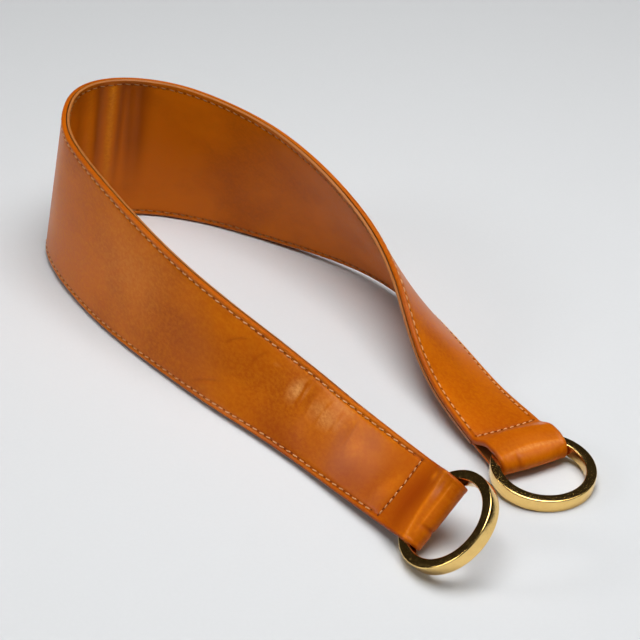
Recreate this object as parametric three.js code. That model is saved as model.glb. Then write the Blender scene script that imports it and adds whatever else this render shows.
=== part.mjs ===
// Camera neck strap: two stitched plies of leather, folded round a flat brass ring at each end.
// It lies as it was put down: the wide middle stands on its lower edge in an open loop,
// end A leans on its ring's rim and end B lies flat. Millimetres and degrees, +Z up.
import * as THREE from 'three';
import { mergeVertices } from 'three/addons/utils/BufferGeometryUtils.js';

// Driving dimensions
const strapLength = 608;      // along the middle of the strap, from fold to fold
const middleWidth = 68;       // the widest place, which lies on the neck
const tabLength = 24.4;       // from a cross seam to its fold, the loop that holds the ring
const outerPly = 1.8;
const innerPly = 1.3;
const returnPly = 1.2;        // the outer ply, pared down where it comes back under the ring
const returnTrim = 1.0;       // cut off each side of that end, so that it stays hidden
const plyGap = 0.3;           // between the two plies, taken up by their flesh sides
const outerEdge = 0.75;       // rounding of the outer ply's turned edge
const innerEdge = 0.5;        // rounding of the inner ply's cut edge
const buttGap = 0.3;          // between the inner ply and the end that comes back from the ring
const ringOuter = 40;
const ringBore = 32;
const ringHeight = 5.3;
const ringBevel = 0.5;
const boreSideGap = 1.7;      // between the tab's edge and the bore, on each side
const seatGap = 0.3;          // between the ring and the leather round it

// The lie of the strap between its cross seams. at: share of that run from end A.
// head: direction of the run in plan. lean: how far the top edge leans inwards from upright.
// lift: height of the lowest corner of its section, as a share of the middle width.
const lie = [
  { at: 0.00, head: 128.1, lean: 51.4, lift: 0.028 },
  { at: 0.07, head: 128.4, lean: 38.2, lift: 0.001 },
  { at: 0.15, head: 133.4, lean: 27.4, lift: 0.001 },
  { at: 0.24, head: 130.1, lean: 16.4, lift: 0.000 },
  { at: 0.33, head: 123.6, lean: 11.4, lift: 0.003 },
  { at: 0.41, head: 112.3, lean: 8.4, lift: 0.022 },
  { at: 0.46, head: 81.2, lean: 9.8, lift: 0.028 },
  { at: 0.50, head: 41.6, lean: 4.2, lift: 0.015 },
  { at: 0.54, head: 3.1, lean: 0.6, lift: 0.004 },
  { at: 0.59, head: -23.6, lean: -1.9, lift: 0.000 },
  { at: 0.67, head: -39.9, lean: 2.4, lift: 0.010 },
  { at: 0.76, head: -52.7, lean: 18.2, lift: 0.038 },
  { at: 0.85, head: -69.2, lean: 36.8, lift: 0.025 },
  { at: 0.93, head: -68.5, lean: 68.4, lift: 0.000 },
  { at: 1.00, head: -63.3, lean: 89.9, lift: 0.050 },
];

// Outline of the strap. at: distance from its middle, 1 at the folds.
// share: how much of the step from the tab's width to the middle width is there.
const outline = [
  { at: 0.00, share: 1.000 },
  { at: 0.25, share: 0.790 },
  { at: 0.50, share: 0.407 },
  { at: 0.75, share: 0.116 },
  { at: 1.00, share: 0.000 },
];

// The two tabs. rise: how far the tab turns up out of the strap at its cross seam.
// swing: how far the ring dips from the tab. level: the ring's middle plane at the fold,
// above the strap's middle, as a share of the ring's height. side: the ring's shift towards
// the strap's top edge, as a share of the side gap. slack: its draw back from the tightest seat.
const tabs = {
  a: { rise: 12.9, swing: 0, level: -0.55, side: 0.2, slack: 0.3 },
  b: { rise: 2.4, swing: 6, level: -0.06, side: 0.1, slack: 0.0 },
};

// Steps along the strap's run, each bend, each straight stretch, each fold and each ring
const bodySteps = 100;
const blendSteps = 7;
const straightSteps = 2;
const foldSteps = 8;
const ringSegments = 56;
const easeReach = 0.42;       // how far the bends at a cross seam carry on, as a share of their length
const settleTurns = 3;        // turns after which the heights and the climb of the run agree
const mergeDistance = 1e-3;

// Derived sizes
const tabWidth = ringBore - 2 * boreSideGap;
const bodyLength = strapLength - 2 * tabLength;
const stack = outerPly + plyGap + innerPly;
const outerLevel = stack / 2 - outerPly / 2;
const innerLevel = innerPly / 2 - stack / 2;
const returnLevel = stack / 2 - outerPly - plyGap - returnPly / 2;
const ringRoom = ringHeight / 2 + seatGap;

const rad = THREE.MathUtils.degToRad;

// Smooth curve through one column of a table, by Hermite pieces.
function readTable(rows, column, at, flatStart = false) {
  const last = rows.length - 1;
  const slope = (i) => {
    if (flatStart && i === 0) return 0;
    const before = rows[Math.max(i - 1, 0)];
    const after = rows[Math.min(i + 1, last)];
    return (after[column] - before[column]) / (after.at - before.at);
  };
  let k = 0;
  while (k < last - 1 && at >= rows[k + 1].at) k += 1;
  const span = rows[k + 1].at - rows[k].at;
  const u = (at - rows[k].at) / span;
  const rise = u * u * (3 - 2 * u);
  return rows[k][column] * (1 - rise) + rows[k + 1][column] * rise
    + span * u * (1 - u) * ((1 - u) * slope(k) - u * slope(k + 1));
}

// Width of the strap at a distance along it from fold A.
function widthAt(run) {
  const fromMiddle = Math.min(Math.abs(2 * run / strapLength - 1), 1);
  return tabWidth + (middleWidth - tabWidth) * readTable(outline, 'share', fromMiddle, true);
}

// The strap's middle surface between the cross seams: a frame at each station, with
// along (the run), across (towards the top edge) and out (away from the neck).
function bodyFrames() {
  const step = bodyLength / bodySteps;
  const rows = [];
  for (let i = 0; i <= bodySteps; i += 1) {
    const at = i / bodySteps;
    rows.push({
      head: rad(readTable(lie, 'head', at)),
      lean: rad(readTable(lie, 'lean', at)),
      lift: readTable(lie, 'lift', at) * middleWidth,
      width: widthAt(tabLength + at * bodyLength),
      climb: 0,
      z: 0,
    });
  }
  // The climb follows from the heights, and the heights from the climb, so both settle in turns.
  for (let pass = 0; pass < settleTurns; pass += 1) {
    for (const r of rows) {
      const reach = r.width / 2 * Math.abs(Math.cos(r.lean)) + stack / 2 * Math.abs(Math.sin(r.lean));
      r.z = r.lift + reach * Math.cos(r.climb);
    }
    rows.forEach((r, i) => {
      const before = Math.max(i - 1, 0);
      const after = Math.min(i + 1, bodySteps);
      r.climb = Math.asin((rows[after].z - rows[before].z) / ((after - before) * step));
    });
  }
  const place = new THREE.Vector3();
  return rows.map((r, i) => {
    const flat = new THREE.Vector3(Math.cos(r.head), Math.sin(r.head), 0);
    const inward = new THREE.Vector3(flat.y, -flat.x, 0);
    const along = flat.clone().multiplyScalar(Math.cos(r.climb)).setZ(Math.sin(r.climb));
    const up = flat.clone().multiplyScalar(-Math.sin(r.climb)).setZ(Math.cos(r.climb));
    const across = up.clone().multiplyScalar(Math.cos(r.lean)).addScaledVector(inward, Math.sin(r.lean));
    const out = up.clone().multiplyScalar(Math.sin(r.lean)).addScaledVector(inward, -Math.cos(r.lean));
    if (i > 0) place.addScaledVector(rows[i - 1].along, step / 2).addScaledVector(along, step / 2);
    r.along = along;
    place.z = r.z;
    return { centre: place.clone(), along, across, out, width: r.width };
  });
}

// A tab's frame at its cross seam: u runs on towards the fold, v is the strap's outer side.
// The tab's loop is drawn in that plane, and toWorld() places a point of it.
function tabFrame(frame, sign, tab) {
  const run = frame.along.clone().multiplyScalar(sign);
  const rise = rad(tab.rise);
  const ringAngle = rad(tab.rise - tab.swing);
  const level = tab.level * ringHeight;
  const fold = new THREE.Vector2(
    tabLength * Math.cos(rise) - level * Math.sin(rise),
    tabLength * Math.sin(rise) + level * Math.cos(rise),
  );
  // The ring hangs as far out as its bore clears the fold at the tab's edges.
  const sideShift = tab.side * boreSideGap;
  const edge = tabWidth / 2 + sideShift;
  const chord = Math.sqrt((ringBore / 2) ** 2 - edge ** 2);
  const roundBack = ringRoom - Math.sqrt(ringRoom ** 2 - (ringHeight / 2 - ringBevel) ** 2);
  const beyond = chord - outerPly - roundBack - seatGap - tab.slack;
  const toWorld = (u, v) => frame.centre.clone().addScaledVector(run, u).addScaledVector(frame.out, v);
  return { frame, ringAngle, fold, sideShift, beyond, toWorld };
}

// Point of the ring's own plane, p out from the fold and q above it, in the tab's u and v.
function ringPlane(t, p, q) {
  const c = Math.cos(t.ringAngle);
  const s = Math.sin(t.ringAngle);
  return new THREE.Vector2(t.fold.x + p * c - q * s, t.fold.y + p * s + q * c);
}

// Middle line of the outer ply round a ring, from the cross seam on the outer side,
// over the ring's bar, round the fold and back under it to the cross seam.
// Each spot holds its place, and how far the ply has turned into its pared end, from 0 to 1.
function loopLine(t) {
  const hidden = ringOuter / 2 - t.beyond + seatGap;
  const turn = ringRoom + (outerPly + returnPly) / 2;
  const over = ringRoom + outerPly / 2;
  const under = -ringRoom - returnPly / 2;
  const direction = new THREE.Vector2(Math.cos(t.ringAngle), Math.sin(t.ringAngle));
  const outward = new THREE.Vector2(1, 0);
  const seam = new THREE.Vector2(0, outerLevel);
  const butt = new THREE.Vector2(buttGap, returnLevel);
  const line = [];
  const add = (place, pared) => line.push({ place, pared });
  const ease = (from, fromDir, to, toDir, pared) => {
    const reach = from.distanceTo(to) * easeReach;
    const nearFrom = from.clone().addScaledVector(fromDir, reach);
    const nearTo = to.clone().addScaledVector(toDir, -reach);
    const curve = new THREE.CubicBezierCurve(from, nearFrom, nearTo, to);
    for (const place of curve.getPoints(blendSteps)) add(place, pared);
  };
  ease(seam, outward, ringPlane(t, -hidden, over), direction, 0);
  for (let i = 1; i <= straightSteps; i += 1) {
    add(ringPlane(t, -hidden + (hidden - turn) * i / straightSteps, over), 0);
  }
  for (let i = 1; i <= foldSteps; i += 1) {
    const pared = i / foldSteps;
    const angle = Math.PI * (0.5 - pared);
    const radius = ringRoom + THREE.MathUtils.lerp(outerPly, returnPly, pared) / 2;
    add(ringPlane(t, -turn + radius * Math.cos(angle), radius * Math.sin(angle)), pared);
  }
  for (let i = 1; i < straightSteps; i += 1) {
    add(ringPlane(t, -turn - (hidden - turn) * i / straightSteps, under), 1);
  }
  ease(ringPlane(t, -hidden, under), direction.negate(), butt, outward.clone().negate(), 1);
  return line;
}

// Section across a ply: a flat strip with rounded edges, drawn in (across, out).
function stripSection(width, thickness, edge) {
  const w = width / 2;
  const h = thickness / 2;
  const inset = edge * (1 - Math.SQRT1_2);
  const right = [
    [w - edge, -h], [w - inset, -h + inset], [w, -h + edge],
    [w, h - edge], [w - inset, h - inset], [w - edge, h],
  ];
  const left = right.map(([x, y]) => [-x, -y]);
  const third = w / 3;
  return [[-third, -h], [third, -h], ...right, [third, h], [-third, h], ...left];
}

// Closed solid swept through stations, each { centre, across, out, width, thickness, edge }.
function sweep(stations) {
  const corners = [];
  let count = 0;
  for (const s of stations) {
    const section = stripSection(s.width, s.thickness, s.edge);
    count = section.length;
    for (const [x, y] of section) {
      const p = s.centre.clone().addScaledVector(s.across, x).addScaledVector(s.out, y);
      corners.push(p.x, p.y, p.z);
    }
  }
  const faces = [];
  for (let i = 0; i + 1 < stations.length; i += 1) {
    for (let k = 0; k < count; k += 1) {
      const a = i * count + k;
      const b = i * count + (k + 1) % count;
      // Facing sides of the two plies split along the same diagonal, so they stay parallel.
      const inward = (k + count / 4) % count < count / 2;
      if (inward) faces.push(a, b + count, b, a, a + count, b + count);
      else faces.push(a, a + count, b, b, a + count, b + count);
    }
  }
  const end = (stations.length - 1) * count;
  for (let k = 1; k + 1 < count; k += 1) {
    faces.push(0, k, k + 1);
    faces.push(end, end + k + 1, end + k);
  }
  const geometry = new THREE.BufferGeometry();
  geometry.setAttribute('position', new THREE.Float32BufferAttribute(corners, 3));
  geometry.setIndex(faces);
  geometry.computeVertexNormals();
  return geometry;
}

// Stations of the ply round one ring. Their order follows the line, from seam to butt end.
function loopStations(t) {
  const line = loopLine(t);
  return line.map(({ place, pared }, i) => {
    const before = line[Math.max(i - 1, 0)].place;
    const after = line[Math.min(i + 1, line.length - 1)].place;
    const ahead = after.clone().sub(before).normalize();
    if (i === 0) ahead.set(1, 0);
    if (i === line.length - 1) ahead.set(-1, 0);
    const thickness = THREE.MathUtils.lerp(outerPly, returnPly, pared);
    return {
      centre: t.toWorld(place.x, place.y),
      across: t.frame.across,
      out: t.toWorld(-ahead.y, ahead.x).sub(t.frame.centre),
      width: widthAt(tabLength - place.x) - 2 * returnTrim * pared,
      thickness,
      edge: outerEdge * thickness / outerPly,
    };
  });
}

function bodyStations(frames, level, thickness, edge) {
  return frames.map((f) => ({
    thickness,
    edge,
    centre: f.centre.clone().addScaledVector(f.out, level),
    across: f.across,
    out: f.out,
    width: f.width,
  }));
}

function ringGeometry() {
  const r0 = ringBore / 2;
  const r1 = ringOuter / 2;
  const h = ringHeight / 2;
  const b = ringBevel;
  const profile = [
    [r0, -h + b], [r0 + b, -h], [r1 - b, -h], [r1, -h + b],
    [r1, h - b], [r1 - b, h], [r0 + b, h], [r0, h - b], [r0, -h + b],
  ].map(([r, y]) => new THREE.Vector2(r, y));
  const geometry = new THREE.LatheGeometry(profile, ringSegments);
  geometry.deleteAttribute('normal');
  geometry.deleteAttribute('uv');
  const closed = mergeVertices(geometry, mergeDistance);
  closed.computeVertexNormals();
  return closed;
}

function ringMesh(name, t, material) {
  const mesh = new THREE.Mesh(ringGeometry(), material);
  mesh.name = name;
  const seat = ringPlane(t, t.beyond, 0);
  mesh.position.copy(t.toWorld(seat.x, seat.y)).addScaledVector(t.frame.across, t.sideShift);
  const s = Math.sin(t.ringAngle);
  const c = Math.cos(t.ringAngle);
  const axis = t.toWorld(-s, c).sub(t.frame.centre);
  mesh.quaternion.setFromUnitVectors(new THREE.Vector3(0, 1, 0), axis);
  return mesh;
}

const frames = bodyFrames();
const tabA = tabFrame(frames[0], -1, tabs.a);
const tabB = tabFrame(frames[bodySteps], 1, tabs.b);

const leather = new THREE.MeshStandardMaterial({ color: 0xb9631a, roughness: 0.38, metalness: 0 });
const lining = new THREE.MeshStandardMaterial({ color: 0xa75c1f, roughness: 0.5, metalness: 0 });
const brassA = new THREE.MeshStandardMaterial({ color: 0xd9a441, roughness: 0.15, metalness: 1 });
const brassB = brassA.clone();

const outerStations = [
  ...loopStations(tabA).reverse(),
  ...bodyStations(frames, outerLevel, outerPly, outerEdge).slice(1, -1),
  ...loopStations(tabB),
];
const outer = new THREE.Mesh(sweep(outerStations), leather);
outer.name = 'outer_ply';

const innerStations = bodyStations(frames, innerLevel, innerPly, innerEdge);
const inner = new THREE.Mesh(sweep(innerStations), lining);
inner.name = 'inner_ply';

// The strap stands on its lowest point, with the middle of its box over the origin.
const group = new THREE.Group();
group.add(outer, inner, ringMesh('ring_a', tabA, brassA), ringMesh('ring_b', tabB, brassB));
group.updateMatrixWorld(true);
const box = new THREE.Box3().setFromObject(group, true);
const middle = box.getCenter(new THREE.Vector3());
group.position.set(-middle.x, -middle.y, -box.min.z);

export default group;
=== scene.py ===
"""Leather camera neck strap, laid down in an open loop, with a brass ring at each end.

Two plies of cowhide are stitched along both edges. The outer ply turns round each ring and comes
back under it. Lengths are in metres and angles in degrees unless a line says otherwise.
"""

import math
import random
from collections import namedtuple

import bpy
import numpy as np
from bpy.props import FloatProperty, FloatVectorProperty, PointerProperty
from mathutils import Matrix, Vector


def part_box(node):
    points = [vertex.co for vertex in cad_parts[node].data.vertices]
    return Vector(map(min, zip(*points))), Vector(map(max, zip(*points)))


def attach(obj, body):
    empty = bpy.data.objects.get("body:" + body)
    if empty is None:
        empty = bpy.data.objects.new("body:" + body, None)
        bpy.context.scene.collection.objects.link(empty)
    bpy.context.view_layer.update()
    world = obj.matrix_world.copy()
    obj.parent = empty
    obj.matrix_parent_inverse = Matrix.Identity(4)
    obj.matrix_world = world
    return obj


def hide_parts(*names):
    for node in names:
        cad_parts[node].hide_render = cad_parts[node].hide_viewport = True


bl_info = {
    "name": "Leather Camera Neck Strap",
    "version": (1, 0, 0),
    "blender": (4, 5, 0),
    "location": "3D View > Sidebar > Strap",
    "description": "Builds a stitched leather neck strap with brass rings, and its studio stage",
    "category": "Object",
}

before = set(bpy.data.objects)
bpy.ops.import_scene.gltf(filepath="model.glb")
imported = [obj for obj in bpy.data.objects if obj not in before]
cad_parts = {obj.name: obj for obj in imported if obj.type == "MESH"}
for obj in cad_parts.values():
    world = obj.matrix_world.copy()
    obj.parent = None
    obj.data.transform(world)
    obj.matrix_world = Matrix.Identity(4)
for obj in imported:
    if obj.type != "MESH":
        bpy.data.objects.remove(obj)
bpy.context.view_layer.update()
MM = 0.001


def from_hex(colour):
    """Linear red, green, blue and alpha of an sRGB hex colour."""
    parts = [int(colour[i:i + 2], 16) / 255 for i in (1, 3, 5)]
    return (*(p / 12.92 if p <= 0.04045 else ((p + 0.055) / 1.055) ** 2.4 for p in parts), 1.0)


def length(name, description, default):
    """A size in metres, shown in the scene's own unit."""
    return FloatProperty(name=name, description=description, default=default, unit="LENGTH",
                         precision=5)


def colour(name, description, default):
    """A colour that starts from an sRGB hex value."""
    return FloatVectorProperty(name=name, description=description, default=from_hex(default),
                               size=4, min=0.0, max=1.0, subtype="COLOR")


class StrapSizes(bpy.types.PropertyGroup):
    """Sizes of the strap and its rings"""
    strap_length: length("Strap length", "Along the middle, from fold to fold", 608 * MM)
    middle_width: length("Middle width", "Widest place, which lies on the neck", 68 * MM)
    tab_length: length("Tab length", "From a cross seam to its fold", 24.4 * MM)
    outer_ply: length("Outer ply", "Thickness of the outer leather", 1.8 * MM)
    inner_ply: length("Inner ply", "Thickness of the lining leather", 1.3 * MM)
    return_ply: length("Return ply", "Thickness of the pared end under the ring", 1.2 * MM)
    ply_gap: length("Ply gap", "Between the two plies", 0.3 * MM)
    ring_bore: length("Ring bore", "Diameter of the hole", 32 * MM)
    ring_wall: length("Ring wall", "Width of the flat face", 4 * MM)
    ring_height: length("Ring height", "Depth of the bar", 5.3 * MM)
    ring_bevel: length("Ring bevel", "Rounding of the bar's corners", 0.5 * MM)


class StitchSizes(bpy.types.PropertyGroup):
    """Sizes of the stitching"""
    pitch: length("Pitch", "From one needle hole to the next along the edges", 4.05 * MM)
    cross_pitch: length("Cross pitch", "From one needle hole to the next across an end", 2.9 * MM)
    inset: length("Inset", "From the edge of the leather to the stitches", 2.1 * MM)
    slant: length("Slant", "How far a stitch leans across its row", 0.45 * MM)
    thread: length("Thread", "Diameter of the waxed thread", 0.50 * MM)
    groove: length("Groove", "How deep the stitches pull the leather in", 0.28 * MM)
    hole: length("Hole", "Diameter of a needle hole", 0.95 * MM)


class StrapColours(bpy.types.PropertyGroup):
    """Colours of the strap"""
    grain: colour("Grain", "Dyed grain side, where the dye took evenly", "#C66302")
    # Also what painted shade on the outer ply mixes towards.
    deep_grain_and_shade: colour("Deep grain", "Grain side where the dye went in deeper", "#943C02")
    # Also the painted highlight on the ridges of the lining's pleats.
    pale_grain_and_highlight: colour("Pale grain", "Grain side where handling wore it paler", "#D6800E")
    # Also the colour of the outer ply's painted highlights.
    scuff_and_highlight: colour("Scuff", "Grain side where a crease or a scuff broke the dye", "#E8A45C")
    lining: colour("Lining", "Grain side of the inner ply", "#C06405")
    # Also the colour of the lining's painted shade, between its pleats and along its stitch grooves
    # and edges.
    deep_lining_and_shade: colour("Deep lining", "Darker blotches of the inner ply", "#8A4003")
    cut_edge: colour("Cut edge", "Dressed edge of the inner ply", "#B06A2C")
    flesh: colour("Flesh", "Undressed underside of the leather", "#8A5426")
    thread: colour("Thread", "Waxed linen thread", "#DBA26A")
    inner_thread: colour("Inner thread", "The same thread, darkened against the neck", "#A06A34")
    # Painted shade: the needle holes' dark colour stands for the shade down the holes.
    hole: colour("Needle hole", "Inside of a needle hole", "#2E1204")
    brass: colour("Brass", "Polished brass", "#F6CF80")
    floor: colour("Floor", "Seamless paper under the strap", "#D0D2D4")


Lie = namedtuple("Lie", "at head lean lift")
Outline = namedtuple("Outline", "at share")
Tab = namedtuple("Tab", "rise swing level side slack draw corner soft stiff")
Fold = namedtuple("Fold", "at side along across height turn")
Pleat = namedtuple("Pleat", "at reach height slant")
Crease = namedtuple("Crease", "at side to_at to_side bow depth breadth rub")
Rub = namedtuple("Rub", "at side along across share turn")

# The lie of the strap between its cross seams. at: share of that run from end A. head: direction
# of the run in plan. lean: how far the top edge leans inwards. lift: height of the lowest corner of
# the section, as a share of the middle width.
LIE = [
    Lie(0.00, 128.1, 51.4, 0.028),
    Lie(0.07, 128.4, 38.2, 0.001),
    Lie(0.15, 133.4, 27.4, 0.001),
    Lie(0.24, 130.1, 16.4, 0.000),
    Lie(0.33, 123.6, 11.4, 0.003),
    Lie(0.41, 112.3, 8.4, 0.022),
    Lie(0.46, 81.2, 9.8, 0.028),
    Lie(0.50, 41.6, 4.2, 0.015),
    Lie(0.54, 3.1, 0.6, 0.004),
    Lie(0.59, -23.6, -1.9, 0.000),
    Lie(0.67, -39.9, 2.4, 0.010),
    Lie(0.76, -52.7, 18.2, 0.038),
    Lie(0.85, -69.2, 36.8, 0.025),
    Lie(0.93, -68.5, 68.4, 0.000),
    Lie(1.00, -63.3, 89.9, 0.050),
]

# Outline of the strap. at: distance from its middle, 1 at the folds. share: how much of the step
# from the tab's width to the middle width is there.
OUTLINE = [
    Outline(0.00, 1.000),
    Outline(0.25, 0.790),
    Outline(0.50, 0.407),
    Outline(0.75, 0.116),
    Outline(1.00, 0.000),
]

# rise: how far a tab turns up at its cross seam. swing: how far its ring dips from it. level: the
# ring's middle plane at the fold, as a share of the ring's height. side: the ring's shift towards
# the top edge, as a share of the side gap. slack: its draw back from the tightest seat. draw: how
# far the soft fold is drawn in towards the ring's bar, and corner: how much further at its
# corners. soft: how much longer than round the fold is in its middle, clear of the bar. All four
# are in millimetres. stiff: 0 where the leather bends in along the ring's own curve, 1 where it
# bends along a straight line.
TABS = {
    "a": Tab(12.9, 0.0, -0.55, 0.2, 0.3, 0.8, 0.5, 1.2, 0.55),
    "b": Tab(2.4, 6.0, -0.06, 0.1, 0.0, 0.5, 1.1, 3.2, 0.30),
}

# Soft folds of the whole strap. at: share of the run between the cross seams. side: share of the
# half width, 1 at the top edge. along and across: how far a fold reaches, in millimetres.
# height: in millimetres, outwards. turn: of its long way from the run.
FOLDS = [
    Fold(-0.028, 1.05, 6, 7, 2.4, 0),
    Fold(-0.014, 0.10, 5, 14, -0.45, 0),
    Fold(1.010, -0.35, 4, 8, -0.40, 0),
    Fold(-0.047, -0.43, 5, 0.8, -0.45, 0),
    Fold(1.044, 0.49, 4, 1.0, -0.35, 0),
    Fold(0.010, -0.20, 5, 9, 0.28, 15),
    Fold(0.045, 0.10, 7, 12, -0.18, 10),
    Fold(0.075, 0.45, 8, 11, 0.50, -20),
    Fold(0.100, 0.10, 6, 12, -0.35, -20),
    Fold(0.120, 0.35, 7, 9, 0.50, -25),
    Fold(0.150, -0.20, 14, 12, -0.45, 15),
    Fold(0.200, 0.30, 13, 14, 0.45, -20),
    Fold(0.225, -0.45, 16, 12, -0.40, 10),
]

# Pleats of the lining, pressed up on the inner side of the tightest bend. at: share of the run.
# reach: half their breadth, and height: outwards, in millimetres. slant: share of the run that
# they lean from the lower to the top edge.
PLEATS = [
    Pleat(0.4840, 4.0, 0.30, 0.004),
    Pleat(0.4970, 2.6, -0.18, 0.006),
    Pleat(0.5060, 2.2, 0.60, 0.007),
    Pleat(0.5165, 1.9, -0.65, 0.008),
    Pleat(0.5245, 1.5, 0.62, 0.010),
    Pleat(0.5330, 2.0, 0.50, 0.004),
    Pleat(0.5415, 3.4, 0.62, 0.008),
]

# Fine creases of the outer ply. They run from at, side to to_at, to_side, bowed along the run by
# that share of it. depth and breadth are in millimetres, and depth is below 0 on a ridge. The last
# column is how much paler, above 0, or deeper, below 0, the colour is along a crease, as a share:
# painted highlights on ridges, a row of scratches, and painted shade in creases, as marked below.
CREASES = [
    # Tab A: a ridge with a painted highlight along it, then a row of scratches.
    Crease(-0.0306, 1.50, -0.0370, -1.50, 0.0040, -0.22, 1.00, 0.62),
    Crease(-0.0372, 1.10, -0.0370, -0.70, 0.0004, 0.06, 0.40, 0.60),
    # Tab B: a painted highlight along the sharp bend past its cross seam.
    Crease(1.0120, -0.95, 1.0090, 0.30, 0.0015, 0.20, 1.20, 0.30),
    # Near arm: painted shade in its fine creases.
    Crease(0.2080, -0.82, 0.1750, -0.38, 0.0040, 0.16, 0.90, -0.50),
    Crease(0.1870, 0.28, 0.1660, 0.72, 0.0040, 0.14, 0.90, -0.45),
    Crease(0.1600, 0.20, 0.1480, 0.75, 0.0030, 0.08, 0.90, -0.30),
    Crease(0.1085, 0.80, 0.1100, 0.00, 0.0015, 0.16, 0.70, -0.50),
    Crease(0.0985, 0.78, 0.1010, -0.20, 0.0020, 0.08, 0.60, -0.24),
    Crease(0.0830, 0.82, 0.0895, -0.15, 0.0020, 0.08, 0.60, -0.24),
    Crease(0.0700, 0.80, 0.0730, -0.20, 0.0020, 0.07, 0.60, -0.22),
    Crease(0.0575, 0.80, 0.0555, -0.25, 0.0020, 0.07, 0.60, -0.22),
]

# Where the outer ply's colour is paler or deeper: a scuff, toned patches, and mostly painted
# highlights and painted shade, as marked below. at, side, along, across and turn as for the folds.
# share: 1 is wholly pale, and -1 is deepest.
WEAR_AND_PAINTED_LIGHT = [
    # Tab A: painted shade over the tab where it turns up past its cross seam, a scuff, then painted
    # shade in the hem's notch and at the fold.
    Rub(-0.0165, 0.00, 9.5, 26, -1.00, 0),
    Rub(-0.0208, 0.73, 1.8, 1.5, 0.90, 30),
    Rub(-0.0470, -0.43, 5.0, 0.8, -0.70, 0),
    Rub(-0.0440, 0.10, 5.0, 18, -0.30, 0),
    # Near arm by end A: painted highlights (above 0) where its folds catch the light, and painted
    # shade (below 0) between them, over its broad sheen and along its lower edge.
    Rub(0.0130, 0.10, 9.0, 14, -0.55, 0),
    Rub(0.0070, -0.07, 3.8, 5.8, 0.60, 19),
    Rub(0.0481, 0.13, 2.8, 4.5, 0.26, 13),
    Rub(0.0630, 0.17, 2.2, 5.0, -0.30, 12),
    Rub(0.0407, 0.53, 7.2, 4.0, -0.40, 6),
    Rub(0.0835, 0.29, 9.0, 4.6, 0.36, 4),
    Rub(0.0722, 0.73, 8.2, 2.2, 0.22, 3),
    Rub(0.1035, 0.43, 1.4, 4.7, -0.40, 9),
    Rub(0.1148, 0.40, 3.2, 4.7, 0.55, 30),
    Rub(0.1407, 0.57, 3.4, 1.6, 0.25, -19),
    Rub(0.0430, -0.45, 14, 9.0, -0.70, 10),
    Rub(0.1120, -0.70, 24, 6.0, -0.50, 0),
    # Darker and paler patches along the body.
    Rub(0.1550, 0.45, 12, 8.0, -0.25, 0),
    Rub(0.2100, -0.15, 18, 14, -0.30, 0),
    Rub(0.3000, 0.20, 30, 16, 0.10, 0),
    Rub(0.4000, 0.20, 26, 26, -0.12, 0),
    # Painted reflection: paler across the bend at the far left, where the glaze reflects the floor.
    Rub(0.4260, 0.10, 8, 30, 0.20, 0),
    # Tab B: a painted highlight along the top of its fold, painted shade in a dent, and a painted
    # sheen on the fold's front.
    Rub(1.0355, 0.00, 1.6, 17, 0.60, 0),
    Rub(1.0440, 0.49, 3.5, 0.9, -0.60, 0),
    Rub(1.0490, -0.20, 2.2, 10, 0.16, 0),
    # Deeper over tab B and the far arm.
    Rub(1.0100, 0.00, 20, 26, -0.42, 0),
    Rub(0.9300, 0.00, 36, 22, -0.25, 0),
]

# How finely the meshes are stepped. EDGE_COLUMNS are distances from the edge in millimetres.
BODY_STEPS_PER_PITCH = 4
BLEND_STEPS = 32
STRAIGHT_STEPS = 20
FOLD_STEPS = 22
ROUND_STEPS = 5
SIDE_SHARES = np.linspace(0, 1, 7)    # of the half width, where a tab's lines run
EDGE_COLUMNS = (0.95, 1.2, 1.45, 1.67, 1.88, 2.1, 2.32, 2.53, 2.75, 3.05, 3.5, 4.3, 5.6)
FACE_COLUMNS = 36
BACK_COLUMNS = 12
STITCH_STEPS = 9
THREAD_SIDES = 7
HOLE_SIDES = 9
RING_SEGMENTS = 160
BEVEL_STEPS = 4
CLIMB_ROUNDS = 3              # turns in which the strap's heights and its climb settle

# How the leather goes round a ring
BORE_SIDE_GAP = 1.7 * MM
SEAT_GAP = 0.3 * MM
SNUG_GAP = 0.12 * MM          # what is left of the seat gap once the leather is pulled snug
BUTT_GAP = 0.3 * MM           # from the pared end to the lining
RETURN_TRIM = 0.4 * MM        # how much narrower the pared end is, on each side
CROWN = 0.35 * MM             # how far the leather springs up off the ring's flat face
EASE_REACH = 0.33             # share of its chord over which a curve keeps its end directions
FRAME_TOLERANCE = 0.5 * MM    # how far ring B may lie from its node before it is set right

# Edges of the leather
TURNED_EDGE = 0.75 * MM       # rounding of the outer ply's turned edge
TUCKED_EDGE = 0.35 * MM       # rounding where that edge meets the lining
LINING_EDGE = 0.45 * MM       # rounding of the lining on the neck side
FIRM_EDGE = 0.15 * MM         # rounding where the lining meets the outer ply
RIM_BEAD = 0.16 * MM          # rise of the leather between the stitching and the edge
RIM_PAINTED_SHADE = -0.50             # painted shade: how much deeper the colour is along the turned edge
RIM_PAINTED_SHADE_REACH = 0.70 * MM

# Creases of the outer ply and pleats of the lining
CREASE_FADE = 0.25            # share of a crease, at each end, over which it fades in
PLEAT_PAINT_HEIGHT = 0.82 * MM         # height of a pleat at which the painted highlight on its ridge and the painted shade beside it are full
PLEAT_FADE = (0.10, 0.55)     # share of the width, from the lower edge, where a pleat fades in
PLEAT_CALM = 5 * MM           # distance from the edges over which a pleat dies away

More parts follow.
